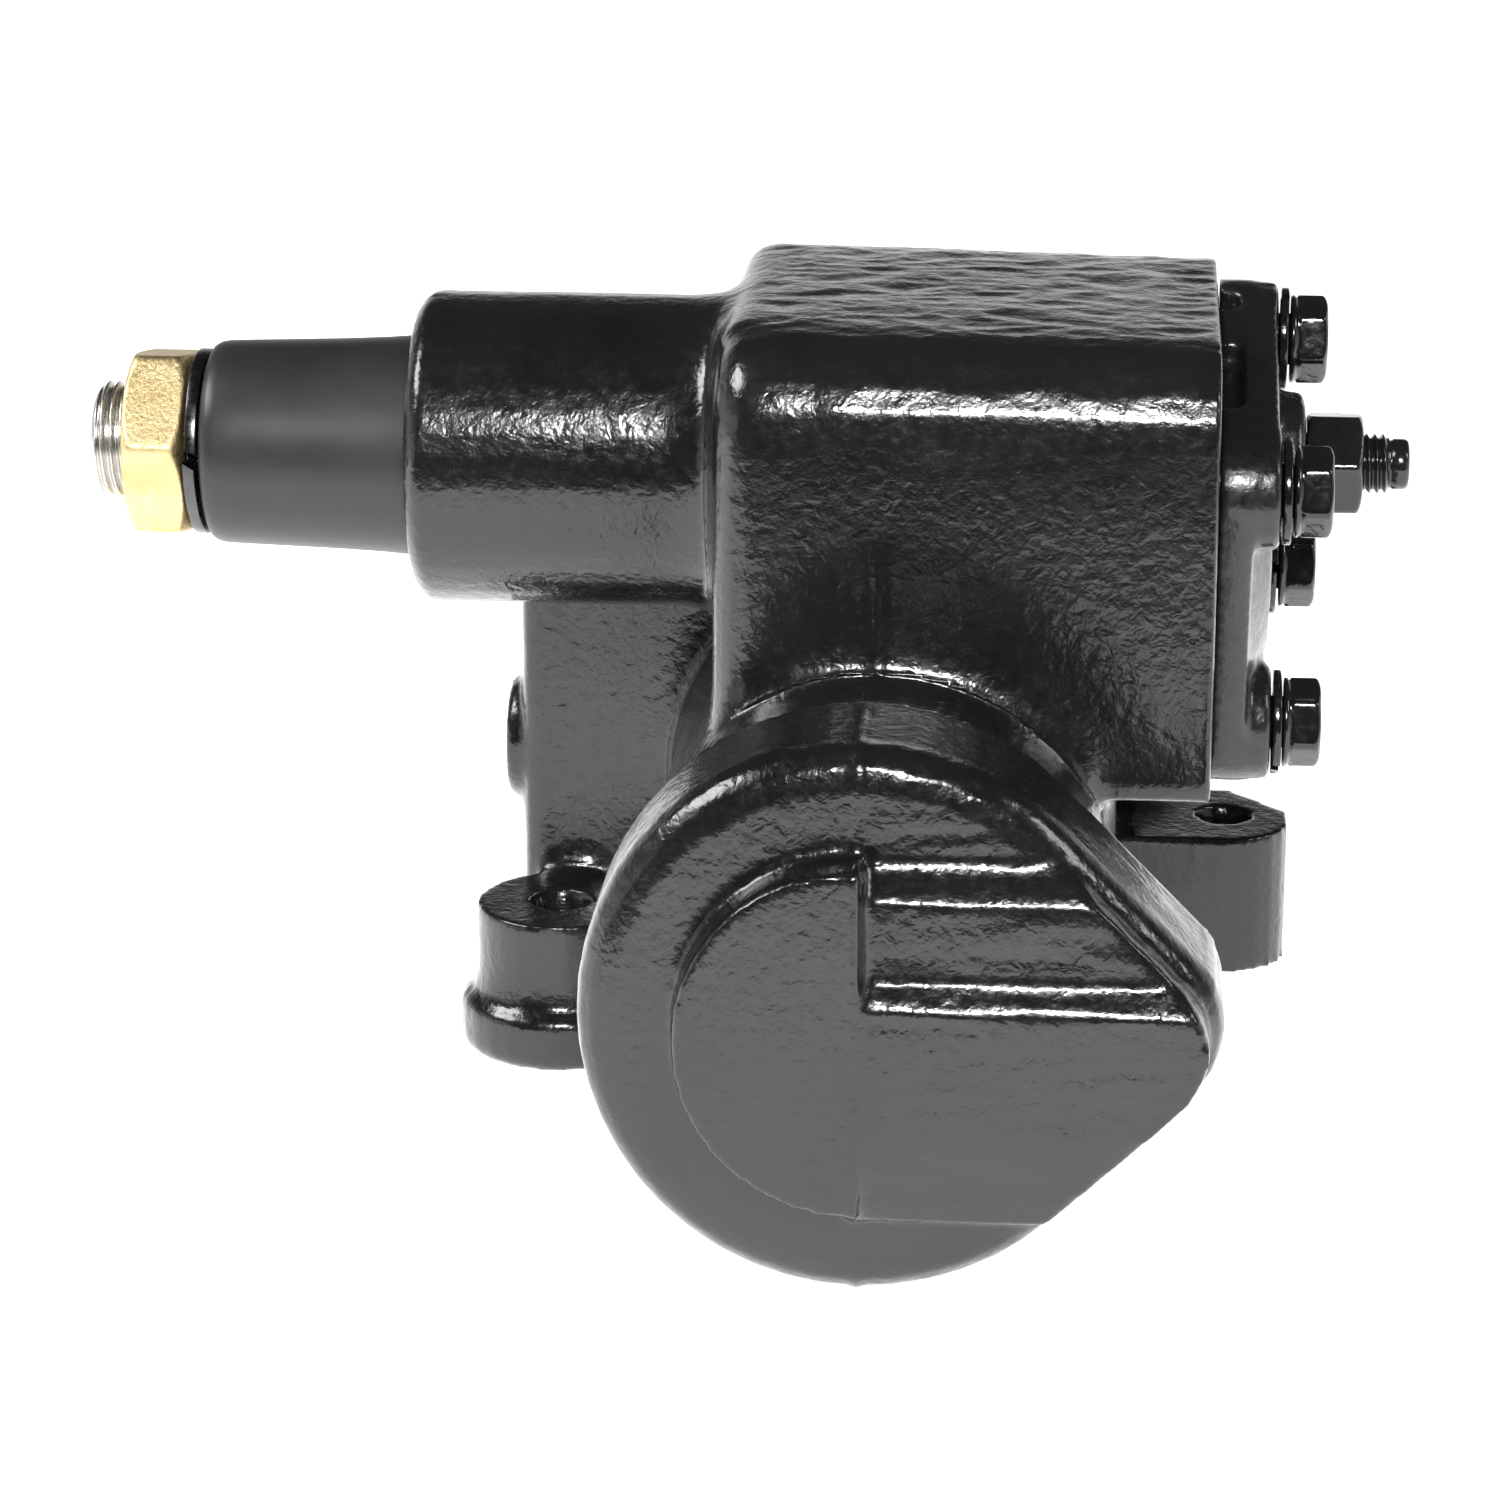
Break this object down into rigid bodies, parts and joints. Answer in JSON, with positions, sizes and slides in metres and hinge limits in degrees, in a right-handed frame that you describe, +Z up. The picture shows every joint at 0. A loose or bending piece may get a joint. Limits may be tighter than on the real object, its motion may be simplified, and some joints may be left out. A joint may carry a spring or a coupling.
{
  "type": "worm gearbox",
  "caption": "Integral recirculating-ball steering gearbox: a worm drives a rack piston, which swings a toothed sector shaft at right angles to the input.",
  "frame": {"origin": "on the mounting plane, under the middle of the bounding box", "axes": "+X along the sector shaft from its threaded end to the side cover, +Y along the worm from the closed end to the input, +Z up from the mounting plane"},
  "size_m": [0.247, 0.314, 0.1549],
  "materials": {
    "black_paint": "gloss",
    "black_steel": "gloss",
    "bare_steel": "machined",
    "yellow_zinc": "plated",
    "black_sleeve": "satin",
    "black_rubber": "matte",
    "cast_iron": "machined",
    "bronze": "machined"
  },
  "bodies": {
    "case": {"adjuster_locknut": "black_steel", "adjuster_retainer": "bare_steel", "adjuster_screw": "black_steel", "bearing_adjuster_plug": "black_steel", "cover_bolt_1": "black_steel", "cover_bolt_2": "black_steel", "cover_bolt_3": "black_steel", "cover_bolt_4": "black_steel", "cover_washer_1": "black_steel", "cover_washer_2": "black_steel", "cover_washer_3": "black_steel", "cover_washer_4": "black_steel", "flange_bolt_1": "black_steel", "flange_bolt_2": "black_steel", "flange_bolt_3": "black_steel", "flange_bolt_4": "black_steel", "housing": "black_paint", "inner_needle_bearing": "bare_steel", "input_dust_seal": "black_rubber", "input_needle_bearing": "bare_steel", "input_oil_seal": "black_rubber", "lower_thrust_bearing": "bare_steel", "outer_needle_bearing": "bare_steel", "plug_lock_ring": "black_steel", "seal_snap_ring": "bare_steel", "sector_dust_seal": "black_rubber", "sector_oil_seal": "black_rubber", "side_cover": "black_paint", "side_cover_bush": "bronze", "side_cover_o_ring": "black_rubber", "upper_thrust_bearing": "bare_steel", "valve_housing": "black_paint", "valve_housing_o_ring": "black_rubber"},
    "sector": {"sector_shaft": "bare_steel", "shaft_nut": "yellow_zinc", "lock_washer": "bare_steel", "spline_protector": "black_sleeve"},
    "piston": {"rack_piston": "cast_iron", "piston_ring": "black_rubber", "piston_end_plug": "cast_iron", "ball_return_guide": "bare_steel", "guide_clamp": "bare_steel", "clamp_screw_1": "bare_steel", "clamp_screw_2": "bare_steel", "ball_01": "bare_steel", "ball_02": "bare_steel", "ball_03": "bare_steel", "ball_04": "bare_steel", "ball_05": "bare_steel", "ball_06": "bare_steel", "ball_07": "bare_steel", "ball_08": "bare_steel", "ball_09": "bare_steel", "ball_10": "bare_steel"},
    "worm": {"worm_shaft": "bare_steel", "valve_body": "bare_steel", "torsion_bar": "bare_steel"},
    "input": {"input_shaft": "bare_steel"}
  },
  "joints": [
    {"name": "sector_swing", "type": "hinge", "parent": "case", "child": "sector", "pos_m": [0.0275, -0.035, 0.1225], "axis": [1, 0, 0], "range_deg": [-45, 45]},
    {"name": "rack_slide", "type": "slide", "parent": "case", "child": "piston", "axis": [0, 1, 0], "range_m": [-0.0316, 0.0316]},
    {"name": "worm_spin", "type": "hinge", "parent": "case", "child": "worm", "pos_m": [0.0275, -0.035, 0.0505], "axis": [0, 1, 0], "range_deg": [-724, 724]},
    {"name": "input_twist", "type": "hinge", "parent": "worm", "child": "input", "pos_m": [0.0275, -0.035, 0.0505], "axis": [0, 1, 0], "range_deg": [-4, 4], "stiffness_Nm_per_rad": 1}
  ],
  "couplings": [
    {"joint": "rack_slide", "follows": "sector_swing", "m_per_rad": 0.04},
    {"joint": "worm_spin", "follows": "sector_swing", "ratio": -16}
  ]
}
